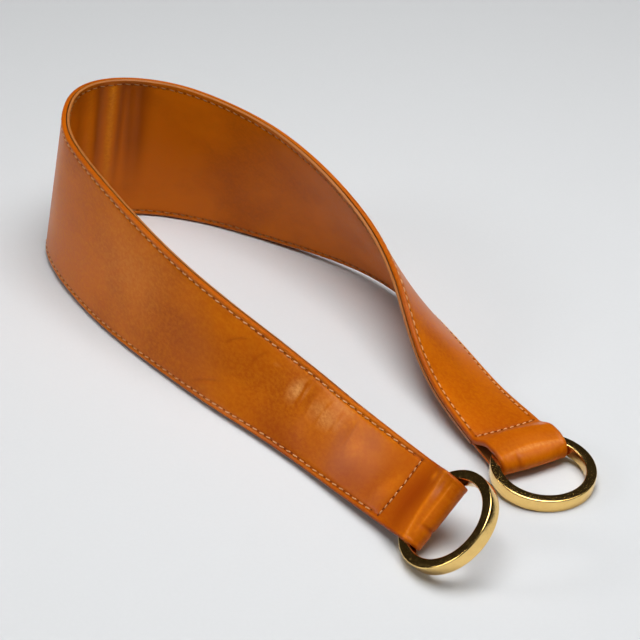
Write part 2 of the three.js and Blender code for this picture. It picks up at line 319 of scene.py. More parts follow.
# Stitching. A radius is the thread's own.
STITCH_INSET = 0.20           # share of a stitch, at each end, that is down in its hole
STITCH_RISE = 0.75            # height of a stitch's middle over the leather, in radii
STITCH_DIVE = 0.9             # how deep its ends are sunk, in radii
STITCH_ARCH = 0.6             # power of its arch: below 1 it rises steeply and lies flat on top
THREAD_PINCH = 0.55           # share of the radius that is left at a stitch's ends
THREAD_SWELL = 2.2            # how soon along a stitch the thread is full again
HOLE_LIFT = 0.05 * MM         # of a hole's rim over the leather, so that it shows
HOLE_DEPTHS = (-0.10 * MM, -0.30 * MM)   # of a hole's dark bottom, and of the body under it
HAND_WANDER = 0.12 * MM       # how far a hole may lie from its even place
HAND_SEED = 7                 # of the random draws for that
SEAM_BOW = 0.6 * MM           # how far a cross seam bows towards its ring
LINING_SEAM = 1.6 * MM        # from the end of the lining to the cross seam on its own side
PULL_SPREAD = 0.8             # reach of the leather's dent round a hole, in hole diameters
PULL_BETWEEN = 0.6            # share of that dent's depth between two holes of an edge row
LINING_PULL = 0.7             # share of that dent's depth in the lining
SEAM_PAINTED_SHADE = -0.38            # painted shade: how much deeper the colour is in the groove where the stitching pulls the leather in
SEAM_PAINTED_SHADE_REACH = 0.55 * MM


def read_table(rows, column, at, flat_start=False):
    """Smooth curve through one column of a table, by Hermite pieces."""
    last = len(rows) - 1

    def slope(i):
        if flat_start and i == 0:
            return 0.0
        before, after = rows[max(i - 1, 0)], rows[min(i + 1, last)]
        return (getattr(after, column) - getattr(before, column)) / (after.at - before.at)

    k = 0
    while k < last - 1 and at >= rows[k + 1].at:
        k += 1
    span = rows[k + 1].at - rows[k].at
    u = (at - rows[k].at) / span
    rise = u * u * (3 - 2 * u)
    level = getattr(rows[k], column) * (1 - rise) + getattr(rows[k + 1], column) * rise
    return level + span * u * (1 - u) * ((1 - u) * slope(k) - u * slope(k + 1))


class Plan:
    """Sizes that follow from the strap's own sizes."""

    def __init__(self, size, stitch):
        self.size = size
        self.tab_width = size.ring_bore - 2 * BORE_SIDE_GAP
        self.body_length = size.strap_length - 2 * size.tab_length
        self.stack = size.outer_ply + size.ply_gap + size.inner_ply
        self.outer_level = self.stack / 2 - size.outer_ply / 2
        self.inner_level = size.inner_ply / 2 - self.stack / 2
        self.return_level = (self.stack / 2 - size.outer_ply - size.ply_gap
                             - size.return_ply / 2)
        self.ring_room = size.ring_height / 2 + SEAT_GAP
        self.stitches = round(self.body_length / stitch.pitch)
        self.pitch = self.body_length / self.stitches
        self.inset = stitch.inset

    def width_at(self, run):
        """Width of the strap at a distance along it from fold A."""
        size = self.size
        from_middle = min(abs(2 * run / size.strap_length - 1), 1)
        share = read_table(OUTLINE, "share", from_middle, True)
        return self.tab_width + (size.middle_width - self.tab_width) * share


class Strip:
    """Stations along a ply or along the strap's middle surface, each with its own directions.

    centre and out may hold a row for each of SIDE_SHARES, where a station isn't straight across.
    along, the direction of the run, is kept only where a tab sets out from it.
    """

    def __init__(self, run, centre, across, out, width, thickness, along=None):
        self.run = np.asarray(run, float)
        self.centre = np.asarray(centre, float)
        self.across = np.asarray(across, float)
        self.out = np.asarray(out, float)
        self.width = np.asarray(width, float)
        self.thickness = np.broadcast_to(np.asarray(thickness, float), self.run.shape)
        self.along = along

    def read(self, rows, run):
        """Rows of one of the strip's arrays, read between the stations in the strip's middle."""
        run = np.asarray(run, float)
        if rows.ndim == 3:
            rows = rows[:, 0]
        if rows.ndim == 1:
            return np.interp(run, self.run, rows)
        return np.stack([np.interp(run, self.run, rows[:, i]) for i in range(3)], axis=-1)

    def point(self, run, y, up):
        """Points at y across and up out of the strip's middle surface, where it is straight."""
        y, up = np.asarray(y)[..., None], np.asarray(up)[..., None]
        return (self.read(self.centre, run) + self.read(self.across, run) * y
                + self.read(self.out, run) * up)

    def sections(self, y, up):
        """Points of every station, at its own places across and up."""
        last = len(SIDE_SHARES) - 1
        share = np.clip(2 * np.abs(y) / self.width[:, None], 0, 1) * last
        low = np.minimum(share.astype(int), last - 1)
        part = (share - low)[..., None]
        rows = np.arange(len(self.run))[:, None]

        def between(table):
            if table.ndim == 2:
                return table[:, None, :]
            return table[rows, low] * (1 - part) + table[rows, low + 1] * part

        return (between(self.centre) + self.across[:, None, :] * y[..., None]
                + between(self.out) * up[..., None])


def body_strip(plan):
    """The strap's middle surface between the cross seams."""
    steps = plan.stitches * BODY_STEPS_PER_PITCH
    step = plan.body_length / steps
    ats = np.linspace(0, 1, steps + 1)
    head = np.radians([read_table(LIE, "head", a) for a in ats])
    lean = np.radians([read_table(LIE, "lean", a) for a in ats])
    lift = np.array([read_table(LIE, "lift", a) for a in ats]) * plan.size.middle_width
    width = np.array([plan.width_at(plan.size.tab_length + a * plan.body_length) for a in ats])
    climb = np.zeros(steps + 1)
    # The climb follows from the heights, and the heights from the climb, so both settle in turns.
    for _ in range(CLIMB_ROUNDS):
        reach = width / 2 * np.abs(np.cos(lean)) + plan.stack / 2 * np.abs(np.sin(lean))
        height = lift + reach * np.cos(climb)
        climb = np.arcsin(np.gradient(height, step))
    flat = np.stack([np.cos(head), np.sin(head), 0 * head], axis=1)
    inward = np.stack([np.sin(head), -np.cos(head), 0 * head], axis=1)
    rise = np.array([0.0, 0.0, 1.0])
    along = flat * np.cos(climb)[:, None] + rise * np.sin(climb)[:, None]
    up = -flat * np.sin(climb)[:, None] + rise * np.cos(climb)[:, None]
    across = up * np.cos(lean)[:, None] + inward * np.sin(lean)[:, None]
    out = up * np.sin(lean)[:, None] - inward * np.cos(lean)[:, None]
    moves = (along[1:] + along[:-1]) * step / 2
    centre = np.concatenate([np.zeros((1, 3)), np.cumsum(moves, axis=0)])
    centre[:, 2] = height
    return Strip(ats * plan.body_length, centre, across, out, width, plan.stack, along)


class Loop:
    """A tab, drawn in its own plane: u runs on from the cross seam, v is the outer side."""

    def __init__(self, plan, body, end, tab):
        size = plan.size
        row = 0 if end == "a" else -1
        self.plan = plan
        self.centre = body.centre[row]
        self.run = body.along[row] * (-1 if end == "a" else 1)
        self.across = body.across[row]
        self.out = body.out[row]
        rise = math.radians(tab.rise)
        self.angle = math.radians(tab.rise - tab.swing)
        self.tab = tab
        level = tab.level * size.ring_height
        self.fold = np.array([size.tab_length * math.cos(rise) - level * math.sin(rise),
                              size.tab_length * math.sin(rise) + level * math.cos(rise)])
        self.side_shift = tab.side * BORE_SIDE_GAP
        edge = plan.tab_width / 2 + self.side_shift
        chord = math.sqrt((size.ring_bore / 2) ** 2 - edge ** 2)
        flat_half = size.ring_height / 2 - size.ring_bevel
        round_back = plan.ring_room - math.sqrt(plan.ring_room ** 2 - flat_half ** 2)
        self.beyond = chord - size.outer_ply - round_back - SEAT_GAP - tab.slack * MM

    def world(self, spot):
        """World place of a point of the tab's plane."""
        return self.centre + self.run * spot[0] + self.out * spot[1]

    def turn(self, spot):
        """World direction of a direction in the tab's plane."""
        return self.run * spot[0] + self.out * spot[1]

    def ring_plane(self, p, q):
        """Point of the ring's own plane, p out from the fold and q above it."""
        c, s = math.cos(self.angle), math.sin(self.angle)
        return self.fold + np.array([p * c - q * s, p * s + q * c])

    def ring_centre(self):
        """World place of the ring's middle."""
        return self.world(self.ring_plane(self.beyond, 0)) + self.across * self.side_shift

    def line(self, side_share):
        """Middle line of the ply at a share of its half width, from the cross seam over the
        ring's bar and back under it.

        Each spot holds its place in the tab's plane, and how far the ply has turned into its
        pared end, from 0 to 1.
        """
        plan, size = self.plan, self.plan.size
        room = size.ring_height / 2 + SNUG_GAP
        rim = size.ring_bore / 2 + size.ring_wall
        rim_here = math.sqrt(rim ** 2 - (side_share * plan.tab_width / 2) ** 2)
        rim_here += (rim - rim_here) * self.tab.stiff
        hidden = rim_here - self.beyond + SEAT_GAP
        drawn = self.tab.draw + self.tab.corner * side_share ** 3
        soft = self.tab.soft * (1 - side_share ** 2) * MM
        turn = room + (size.outer_ply + size.return_ply) / 2 + drawn * MM + soft
        over = room + size.outer_ply / 2
        under = -room - size.return_ply / 2
        way = np.array([math.cos(self.angle), math.sin(self.angle)])
        outward = np.array([1.0, 0.0])
        spots = []

        def ease(start, start_way, end, end_way, pared):
            reach = np.linalg.norm(end - start) * EASE_REACH
            pulls = [start, start + start_way * reach, end - end_way * reach, end]
            for i in range(BLEND_STEPS + 1):
                t = i / BLEND_STEPS
                shares = ((1 - t) ** 3, 3 * t * (1 - t) ** 2, 3 * t * t * (1 - t), t ** 3)
                spots.append((sum(s * p for s, p in zip(shares, pulls)), pared))

        ease(np.array([0.0, plan.outer_level]), outward, self.ring_plane(-hidden, over), way, 0.0)
        for i in range(1, STRAIGHT_STEPS + 1):
            back = hidden + (turn - hidden) * i / STRAIGHT_STEPS
            crown = CROWN * math.sin(math.pi * i / STRAIGHT_STEPS)
            spots.append((self.ring_plane(-back, over + crown), 0.0))
        for i in range(1, FOLD_STEPS + 1):
            pared = i / FOLD_STEPS
            angle = math.pi * (0.5 - pared)
            ply = size.outer_ply + (size.return_ply - size.outer_ply) * pared
            radius = room + ply / 2
            spots.append((self.ring_plane(-turn + (radius + soft) * math.cos(angle),
                                          radius * math.sin(angle)), pared))
        for i in range(1, STRAIGHT_STEPS):
            back = turn + (hidden - turn) * i / STRAIGHT_STEPS
            spots.append((self.ring_plane(-back, under), 1.0))
        ease(self.ring_plane(-hidden, under), -way, np.array([BUTT_GAP, plan.return_level]),
             -outward, 1.0)
        return spots

    def strip(self):
        """The outer ply's stations round the ring, run counted from the cross seam."""
        plan, size = self.plan, self.plan.size
        lines = [self.line(share) for share in SIDE_SHARES]
        places = np.array([[place for place, _ in line] for line in lines]).transpose(1, 0, 2)
        ahead = np.gradient(places, axis=0)
        ahead[0], ahead[-1] = (1, 0), (-1, 0)
        ahead /= np.linalg.norm(ahead, axis=2)[..., None]
        middle = places[:, 0]
        steps = np.linalg.norm(np.diff(middle, axis=0), axis=1)
        run = np.concatenate([[0], np.cumsum(steps)])
        pared = np.array([share for _, share in lines[0]])
        thickness = size.outer_ply + (size.return_ply - size.outer_ply) * pared
        width = [plan.width_at(size.tab_length - u) for u in middle[:, 0]]
        width = np.array(width) - 2 * RETURN_TRIM * pared
        centre = self.centre + self.run * places[..., :1] + self.out * places[..., 1:]
        out = self.run * -ahead[..., 1:] + self.out * ahead[..., :1]
        across = np.tile(self.across, (len(middle), 1))
        return Strip(run, centre, across, out, width, thickness)


def outer_strip(plan, body, loops):
    """The whole outer ply, from one butt end to the other, run counted from cross seam A."""
    first, last = loops["a"].strip(), loops["b"].strip()
    sides = (1, len(SIDE_SHARES), 1)
    level = np.tile((body.centre + body.out * plan.outer_level)[:, None, :], sides)
    out = np.tile(body.out[:, None, :], sides)

    def joined(a, b, c):
        return np.concatenate([a[::-1], b[1:-1], c])

    return Strip(
        joined(-first.run, body.run, plan.body_length + last.run),
        joined(first.centre, level, last.centre),
        joined(first.across, body.across, last.across),
        joined(first.out, out, last.out),
        joined(first.width, body.width, last.width),
        joined(first.thickness, np.full(len(body.run), plan.size.outer_ply), last.thickness),
    )


def inner_strip(plan, body):
    """The inner ply, between the cross seams."""
    level = body.centre + body.out * plan.inner_level
    return Strip(body.run, level, body.across, body.out, body.width, plan.size.inner_ply)


def soft_spot(plan, spot, run, y, width):
    """Share of a soft oval spot of one of the tables that reaches a run and a place across."""
    du = (run - spot.at * plan.body_length) / MM
    dv = (y - spot.side * width / 2) / MM
    c, s = math.cos(math.radians(spot.turn)), math.sin(math.radians(spot.turn))
    a, b = du * c + dv * s, dv * c - du * s
    return np.exp(-(a / spot.along) ** 2 - (b / spot.across) ** 2)


def soft_folds(plan, run, y, width):
    """How far the soft folds lift the strap outwards, at a run and a place across."""
    return sum(soft_spot(plan, fold, run, y, width) * fold.height * MM for fold in FOLDS)


def crease_sum(plan, run, y, width, column):
    """Sum of one column of the creases, faded off across each crease and towards its ends."""
    total = np.zeros(np.broadcast(run, y, width).shape)
    side = 2 * y / width
    for crease in CREASES:
        t = (side - crease.side) / (crease.to_side - crease.side)
        line = crease.at + (crease.to_at - crease.at) * t + crease.bow * 4 * t * (1 - t)
        off = (run - line * plan.body_length) / (crease.breadth * MM)
        ends = np.clip(t / CREASE_FADE, 0, 1) * np.clip((1 - t) / CREASE_FADE, 0, 1)
        total += getattr(crease, column) * ends * np.exp(-off ** 2)
    return total


def lining_pleats(plan, run, y, width):
    """How far the pleats lift the lining outwards, at a run and a place across."""
    total = np.zeros(np.broadcast(run, y, width).shape)
    for pleat in PLEATS:
        middle = (pleat.at + pleat.slant * y / width) * plan.body_length
        off = (run - middle) / (pleat.reach * MM)
        total += pleat.height * MM * np.exp(-off ** 2)
    calm = np.clip((width / 2 - np.abs(y)) / PLEAT_CALM, 0, 1)
    low, high = PLEAT_FADE
    fade = np.clip((0.5 + y / width - low) / (high - low), 0, 1)
    return total * calm * calm * (3 - 2 * calm) * fade


def seam_bow(y, half):
    """How far a cross seam lies towards its ring, at a place across."""
    return SEAM_BOW * (1 - np.clip(np.abs(y) / half, 0, 1) ** 2)


def stitch_pull(plan, stitch, run, y, edge, width):
    """How far the stitching pulls the leather in, at a place and its distance from the edge."""
    spread = stitch.hole * PULL_SPREAD
    inside = (run > -spread) & (run < plan.body_length + spread)
    hole = 0.5 + 0.5 * np.cos(2 * math.pi * run / plan.pitch)
    depth = (PULL_BETWEEN + (1 - PULL_BETWEEN) * hole) * inside
    row = np.exp(-((edge - plan.inset) / spread) ** 2) * depth
    bow = seam_bow(y, width / 2 - plan.inset)
    seam = np.minimum(np.abs(run + bow), np.abs(run - plan.body_length - bow))
    across = np.exp(-(seam / spread) ** 2) * (edge > plan.inset - spread)
    return -stitch.groove * np.maximum(row, across)


def seam_and_rim_painted_shade(plan, run, y, width):
    """Painted shade along the stitch grooves and the turned edges: how much deeper the colour is
    there, at a run and across.
    """
    edge = width / 2 - np.abs(y)
    inside = (run > -SEAM_PAINTED_SHADE_REACH) & (run < plan.body_length + SEAM_PAINTED_SHADE_REACH)
    row = np.exp(-((edge - plan.inset) / SEAM_PAINTED_SHADE_REACH) ** 2) * inside
    bow = seam_bow(y, width / 2 - plan.inset)
    seam = np.minimum(np.abs(run + bow), np.abs(run - plan.body_length - bow))
    across = np.exp(-(seam / SEAM_PAINTED_SHADE_REACH) ** 2) * (edge > plan.inset)
    rim = RIM_PAINTED_SHADE * np.exp(-(edge / RIM_PAINTED_SHADE_REACH) ** 2)
    return SEAM_PAINTED_SHADE * np.maximum(row, across) + rim


def rim_bead(edge, reach, height):
    """Soft bead of leather between the stitching and the edge."""
    share = np.clip(edge / reach, 0, 1)
    return height * np.sin(math.pi * share)


def half_face(half, start, fine):
    """Distances from the edge of a face's columns, from its rounding to its middle."""
    edges = [start] + [np.full_like(half, e * MM) for e in EDGE_COLUMNS if fine]
    count = (FACE_COLUMNS if fine else BACK_COLUMNS) // 2
    last = edges[-1]
    return edges + [last + (half - last) * (i / count) for i in range(1, count + 1)]


def section_columns(width, thickness, top_round, low_round, fine_top):
    """Columns round a section: y across, z out, distance from the edge, and its side.

    The side is 1 on the outer face and its rounding, 2 on the lower rounding and 0 on the back.
    """
    half, top, low = width / 2, thickness / 2, -thickness / 2
    bends = [(math.sin(a), math.cos(a)) for a in np.linspace(0, math.pi / 2, ROUND_STEPS + 1)[1:]]
    tops = half_face(half, top_round, fine_top)
    backs = half_face(half, low_round, not fine_top)
    top_bend = [(half - top_round * (1 - s), top - top_round * (1 - c), top_round * (1 - s), 1)
                for s, c in bends]
    low_bend = [(half - low_round * (1 - s), low + low_round * (1 - c), low_round * (1 - s), 2)
                for s, c in bends]
    around = [(half - e, top, e, 1) for e in tops]
    around += [(e - half, top, e, 1) for e in reversed(tops[:-1])]
    around += [(-y, z, e, side) for y, z, e, side in top_bend[:-1]]
    around += [(-y, z, e, 2) for y, z, e, _ in top_bend[-1:] + low_bend[::-1]]
    around += [(e - half, low, e, 0) for e in backs]
    around += [(half - e, low, e, 0) for e in reversed(backs[:-1])]
    return around + low_bend + top_bend[::-1]


def strip_mesh(name, strip, rounds, relief, painted_light_and_wear_at, part_of, materials):
    """Closed leather strip swept along its stations.

    rounds are the roundings of its outer and its lower edges, and whether its outer face is the
    finer one. relief(run, y, edge, grain, width) lifts its points, the next function, of (run, y,
    width), gives the paler or deeper colour of each point, scuffs and painted light alike, and
    part_of(grain) picks a material.
    """
    around = section_columns(strip.width, strip.thickness, *rounds)
    count = len(around)
    stations = len(strip.run)
    shape = (stations, 1)

    def spread(column):
        return np.broadcast_to(np.reshape(column, (-1, 1)), shape)

    y = np.concatenate([spread(c[0]) for c in around], axis=1)
    z = np.concatenate([spread(c[1]) for c in around], axis=1)
    edge = np.concatenate([spread(c[2]) for c in around], axis=1)
    grain = np.array([c[3] for c in around])
    run = np.broadcast_to(strip.run[:, None], y.shape)
    width = np.broadcast_to(strip.width[:, None], y.shape)
    z = z + relief(run, y, edge, grain[None, :], width)
    points = strip.sections(y, z)
    faces, slots = [], []
    for i in range(stations - 1):
        for k in range(count):
            a, b = i * count + k, i * count + (k + 1) % count
            faces.append((a, a + count, b + count, b))
            slots.append(part_of(grain[k]))
    last = (stations - 1) * count
    faces.append(tuple(range(count)))
    faces.append(tuple(last + k for k in reversed(range(count))))
    slots += [part_of(0)] * 2
    mesh = bpy.data.meshes.new(name)
    mesh.from_pydata(points.reshape(-1, 3).tolist(), [], faces)
    place = mesh.attributes.new("place", "FLOAT_VECTOR", "POINT")
    place.data.foreach_set("vector", np.stack([run, y, edge], axis=-1).astype(np.float32).ravel())
    # Paler or deeper colour for each point: scuffs, scratches and toned patches, and painted
    # highlights and painted shade.
    wear_and_painted_light = mesh.attributes.new("wear_and_painted_light", "FLOAT", "POINT")
    wear_and_painted_light.data.foreach_set("value", painted_light_and_wear_at(run, y, width).astype(np.float32).ravel())
    for material in materials:
        mesh.materials.append(material)
    mesh.polygons.foreach_set("material_index", slots)
    mesh.polygons.foreach_set("use_smooth", [True] * len(faces))
    mesh.update()
    return mesh


def thread_parts(path, radii, side_way):
    """Points and faces of one stitch's thread: a closed tube along a path, flat at its ends."""
    sides = THREAD_SIDES
    ahead = np.gradient(path, axis=0)
    ahead /= np.linalg.norm(ahead, axis=1)[:, None]
    side = side_way - ahead * np.sum(ahead * side_way, axis=1)[:, None]
    side /= np.linalg.norm(side, axis=1)[:, None]
    up = np.cross(ahead, side)
    turn = 2 * math.pi * np.arange(sides) / sides
    ring = (side[:, None, :] * np.cos(turn)[None, :, None]
            + up[:, None, :] * np.sin(turn)[None, :, None])
    points = (path[:, None, :] + ring * np.asarray(radii)[:, None, None]).reshape(-1, 3)
    faces = []
    for i in range(len(path) - 1):
        for k in range(sides):
            a, b = i * sides + k, i * sides + (k + 1) % sides
            faces.append((a, b, b + sides, a + sides))
    last = (len(path) - 1) * sides
    faces.append(tuple(reversed(range(sides))))
    faces.append(tuple(last + k for k in range(sides)))
    return points, faces


def add(tree, kind, settings=None, inputs=None):
    """Adds a node, with its settings, and each input given a value or linked to an output."""
    node = tree.nodes.new(kind)
    for name, value in (settings or {}).items():
        setattr(node, name, value)
    for name, value in (inputs or {}).items():
        if isinstance(value, bpy.types.NodeSocket):
            tree.links.new(value, node.inputs[name])
        else:
            node.inputs[name].default_value = value
    return node


def start_material(name):
    """An empty node material, its tree and its output node."""
    material = bpy.data.materials.new(name)
    material.use_nodes = True
    material.node_tree.nodes.clear()
    tree = material.node_tree
    return material, tree, add(tree, "ShaderNodeOutputMaterial")


def per_mm(size):
    """Texture scale whose features are that many millimetres across."""
    return 1 / (size * MM)


# Inputs and output of a Mix node that mixes colours. They go by number, as several share a name.
MIX_SHARE, MIX_A, MIX_B, MIX_RESULT = 0, 6, 7, 2


def dyed_leather(name, even, deep, pale, scuff_and_highlight, roughness, coat):
    """Aniline-dyed vegetable-tanned cowhide, glazed and then handled.

    The dye sinks in unevenly, so the colour is blotched over centimetres and dotted over
    millimetres. Glazing leaves a thin glossy coat over a finely pored grain. A value on the mesh
    turns the colour paler, most on the grain's high points, and deeper. It holds a few scuffs and
    scratches from handling and some toned patches. Mostly it holds painted highlights and painted
    shade, in creases, dents and stitch grooves, on the turned edges and over sheen.
    """
    material, tree, output = start_material(name)
    place = add(tree, "ShaderNodeAttribute", {"attribute_name": "place"}).outputs["Vector"]
    blotch = add(tree, "ShaderNodeTexNoise", inputs={
        "Vector": place, "Scale": per_mm(42), "Detail": 3.0, "Roughness": 0.55})
    dots = add(tree, "ShaderNodeTexNoise", inputs={
        "Vector": place, "Scale": per_mm(1.8), "Detail": 4.0, "Roughness": 0.6})
    blotched = add(tree, "ShaderNodeMapRange", inputs={
        "Value": blotch.outputs["Fac"], "From Min": 0.42, "From Max": 0.68, "To Max": 0.60})
    dotted = add(tree, "ShaderNodeMapRange", inputs={
        "Value": dots.outputs["Fac"], "From Min": 0.38, "From Max": 0.72, "To Max": 0.45})
    ground = add(tree, "ShaderNodeMix", {"data_type": "RGBA"}, {
        MIX_SHARE: blotched.outputs["Result"], MIX_A: even, MIX_B: deep})
    toned = add(tree, "ShaderNodeMix", {"data_type": "RGBA"}, {
        MIX_SHARE: dotted.outputs["Result"], MIX_A: ground.outputs[MIX_RESULT], MIX_B: pale})
    # Below 0 this value mixes the colour towards the deep one, and above 0 towards the pale one, most
    # on the grain's high points: scuffs, scratches and toned patches, and painted highlights and
    # painted shade.
    wear_and_painted_light = add(tree, "ShaderNodeAttribute", {"attribute_name": "wear_and_painted_light"}).outputs["Fac"]
    darkened = add(tree, "ShaderNodeMapRange", inputs={
        "Value": wear_and_painted_light, "From Min": 0.0, "From Max": -1.0})
    shaded = add(tree, "ShaderNodeMix", {"data_type": "RGBA"}, {
        MIX_SHARE: darkened.outputs["Result"], MIX_A: toned.outputs[MIX_RESULT], MIX_B: deep})
    high_points = add(tree, "ShaderNodeMapRange", inputs={
        "Value": dots.outputs["Fac"], "From Min": 0.38, "From Max": 0.62, "To Min": 0.65,
        "To Max": 1.35})
    lightened = add(tree, "ShaderNodeMath", {"operation": "MULTIPLY", "use_clamp": True}, {
        0: wear_and_painted_light, 1: high_points.outputs["Result"]})
    scuffed_and_highlit = add(tree, "ShaderNodeMix", {"data_type": "RGBA"}, {
        MIX_SHARE: lightened.outputs["Value"], MIX_A: shaded.outputs[MIX_RESULT], MIX_B: scuff_and_highlight})
    pores = add(tree, "ShaderNodeTexVoronoi", inputs={
        "Vector": place, "Scale": per_mm(0.55), "Randomness": 1.0})
    grain = add(tree, "ShaderNodeTexNoise", inputs={
        "Vector": place, "Scale": per_mm(1.1), "Detail": 5.0, "Roughness": 0.65})
    pored = add(tree, "ShaderNodeBump", inputs={
        "Height": pores.outputs["Distance"], "Strength": 0.10, "Distance": 0.08 * MM})
    grained = add(tree, "ShaderNodeBump", inputs={
        "Height": grain.outputs["Fac"], "Strength": 0.16, "Distance": 0.25 * MM,
        "Normal": pored.outputs["Normal"]})
    sheen_patch = add(tree, "ShaderNodeMapRange", inputs={
        "Value": dots.outputs["Fac"], "From Min": 0.3, "From Max": 0.7,
        "To Min": roughness - 0.05, "To Max": roughness + 0.08})
    shader = add(tree, "ShaderNodeBsdfPrincipled", inputs={
        "Base Color": scuffed_and_highlit.outputs[MIX_RESULT], "Roughness": sheen_patch.outputs["Result"],
        "IOR": 1.5, "Specular IOR Level": 0.05, "Coat Weight": coat, "Coat Roughness": 0.24,
        "Coat IOR": 1.28, "Normal": grained.outputs["Normal"]})
    tree.links.new(shader.outputs["BSDF"], output.inputs["Surface"])
    return material


def two_tone(name, tone, shade, size, noise, surface, relief=None, by_place=False):
    """A material that goes between its tone and a darker share of it, shade.

    size is that of the noise between them, in millimetres. noise and surface hold further settings
    of the noise and of the shader. relief holds the strength of a bump from the same noise, and its
    height in millimetres. by_place lays the noise out along the leather, not in the object's box.
    """
    material, tree, output = start_material(name)
    if by_place:
        spot = add(tree, "ShaderNodeAttribute", {"attribute_name": "place"}).outputs["Vector"]
    else:
        spot = add(tree, "ShaderNodeTexCoord").outputs["Object"]
    pattern = add(tree, "ShaderNodeTexNoise", inputs={
        "Vector": spot, "Scale": per_mm(size), **noise}).outputs["Fac"]
    mixed = add(tree, "ShaderNodeMix", {"data_type": "RGBA"}, {
        MIX_SHARE: pattern, MIX_A: tuple(shade * c for c in tone[:3]) + (1.0,), MIX_B: tone})
    shader = add(tree, "ShaderNodeBsdfPrincipled", inputs={
        "Base Color": mixed.outputs[MIX_RESULT], **surface})
    if relief:
        strength, height = relief
        bump = add(tree, "ShaderNodeBump", inputs={
            "Height": pattern, "Strength": strength, "Distance": height * MM})
        tree.links.new(bump.outputs["Normal"], shader.inputs["Normal"])
    tree.links.new(shader.outputs["BSDF"], output.inputs["Surface"])
    return material


def flesh_side(name, tone):
    """Undressed flesh side of split cowhide: loose short fibres, quite matt."""
    return two_tone(name, tone, shade=0.6, size=0.7, by_place=True, relief=(0.5, 0.3),
                    noise={"Detail": 6.0, "Roughness": 0.75},
                    surface={"Roughness": 0.85, "Specular IOR Level": 0.2})


def dressed_edge(name, tone):
    """Cut edge of the lining leather, burnished smooth with wax: pale fibres in a dull shine."""
    return two_tone(name, tone, shade=0.75, size=1.4, by_place=True, relief=(0.3, 0.15),
                    noise={"Detail": 4.0, "Roughness": 0.6},
                    surface={"Roughness": 0.45, "Specular IOR Level": 0.4})


def waxed_thread(name, tone):
    """Waxed linen thread: twisted strands, matt between faint waxy lights."""
    return two_tone(name, tone, shade=0.7, size=0.35, relief=(0.5, 0.15),
                    noise={"Detail": 2.0, "Roughness": 0.5},
                    surface={"Roughness": 0.6, "Specular IOR Level": 0.3})


def needle_hole_shade(name, tone):
    """Awl hole in the leather: a dark colour that is painted shade, standing for the shade down the
    hole.
    """
    return two_tone(name, tone, shade=0.5, size=0.3, noise={"Detail": 3.0},
                    surface={"Roughness": 0.9, "Specular IOR Level": 0.1})


def seamless_paper(name, tone):
    """Matt studio paper: an even pale grey with a barely seen tooth."""
    return two_tone(name, tone, shade=0.97, size=1.5, noise={"Detail": 3.0},
                    surface={"Roughness": 0.9, "Specular IOR Level": 0.1})


# Share of the brass's red, green and blue that its tarnish sends back
TARNISH = (0.72, 0.58, 0.42)


def polished_brass(name, tone):
    """Brass bar, turned and polished by wheel, then handled: bright, with a faint haze where hands
    have dulled it.
    """
    material, tree, output = start_material(name)
    coords = add(tree, "ShaderNodeTexCoord").outputs["Object"]
    haze = add(tree, "ShaderNodeTexNoise", inputs={
        "Vector": coords, "Scale": per_mm(3.0), "Detail": 5.0, "Roughness": 0.65})
    tarnish = add(tree, "ShaderNodeMapRange", inputs={
        "Value": haze.outputs["Fac"], "From Min": 0.40, "From Max": 0.7, "To Max": 0.25})
    shade = add(tree, "ShaderNodeMix", {"data_type": "RGBA"}, {
        MIX_SHARE: tarnish.outputs["Result"], MIX_A: tone,
        MIX_B: tuple(c * s for c, s in zip(tone[:3], TARNISH)) + (1.0,)})
    wheel = add(tree, "ShaderNodeTexNoise", inputs={
        "Vector": coords, "Scale": per_mm(0.9), "Detail": 4.0, "Roughness": 0.7})
    rough = add(tree, "ShaderNodeMapRange", inputs={
        "Value": wheel.outputs["Fac"], "From Min": 0.46, "From Max": 0.66, "To Min": 0.08,
        "To Max": 0.26})
    marks = add(tree, "ShaderNodeBump", inputs={
        "Height": wheel.outputs["Fac"], "Strength": 0.4, "Distance": 0.09 * MM})
    shader = add(tree, "ShaderNodeBsdfPrincipled", inputs={
        "Base Color": shade.outputs[MIX_RESULT], "Metallic": 1.0,
        "Roughness": rough.outputs["Result"], "Normal": marks.outputs["Normal"]})
    tree.links.new(shader.outputs["BSDF"], output.inputs["Surface"])
    return material


def layout(context):
    """The strap's plan, its middle strip, its loops, and its shift into the frame."""
    scene = context.scene
    plan = Plan(scene.strap_sizes, scene.strap_stitches)
    body = body_strip(plan)
    loops = {end: Loop(plan, body, end, tab) for end, tab in TABS.items()}
    middles = {}
    for end in TABS:
        low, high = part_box(f"ring_{end}")
        middles[end] = np.array((low + high) / 2)
    shift = middles["a"] - loops["a"].ring_centre()
    miss = middles["b"] - loops["b"].ring_centre() - shift
    off = np.linalg.norm(miss)
    if off > FRAME_TOLERANCE:
        raise RuntimeError(f"ring B is {off / MM:.2f} mm from where the frame has it")
    # The frame steps along the strap in fewer sections, so what that leaves is spread over the run.
    body.centre = body.centre + shift + miss * (body.run / plan.body_length)[:, None]
    loops["a"].centre = loops["a"].centre + shift
    loops["b"].centre = loops["b"].centre + shift + miss
    return plan, body, loops


def place_piece(mesh, name, slot, *nodes):
    """Links a mesh as a piece that rides on the strap and stands for its nodes."""
    piece = bpy.data.objects.new(name, mesh)
    bpy.context.scene.collection.objects.link(piece)
    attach(piece, "root")
    if nodes:
        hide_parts(*nodes)
    return piece


def outer_relief(plan, stitch):
    """Relief of the outer ply: folds, creases, stitching and the bead along its edges."""

    def relief(run, y, edge, grain, width):
        lift = soft_folds(plan, run, y, width)
        pull = stitch_pull(plan, stitch, run, y, edge, width)
        bead = rim_bead(edge, plan.inset, RIM_BEAD)
        creases = crease_sum(plan, run, y, width, "depth") * MM
        return lift + (pull + bead - creases) * (grain == 1)

    return relief


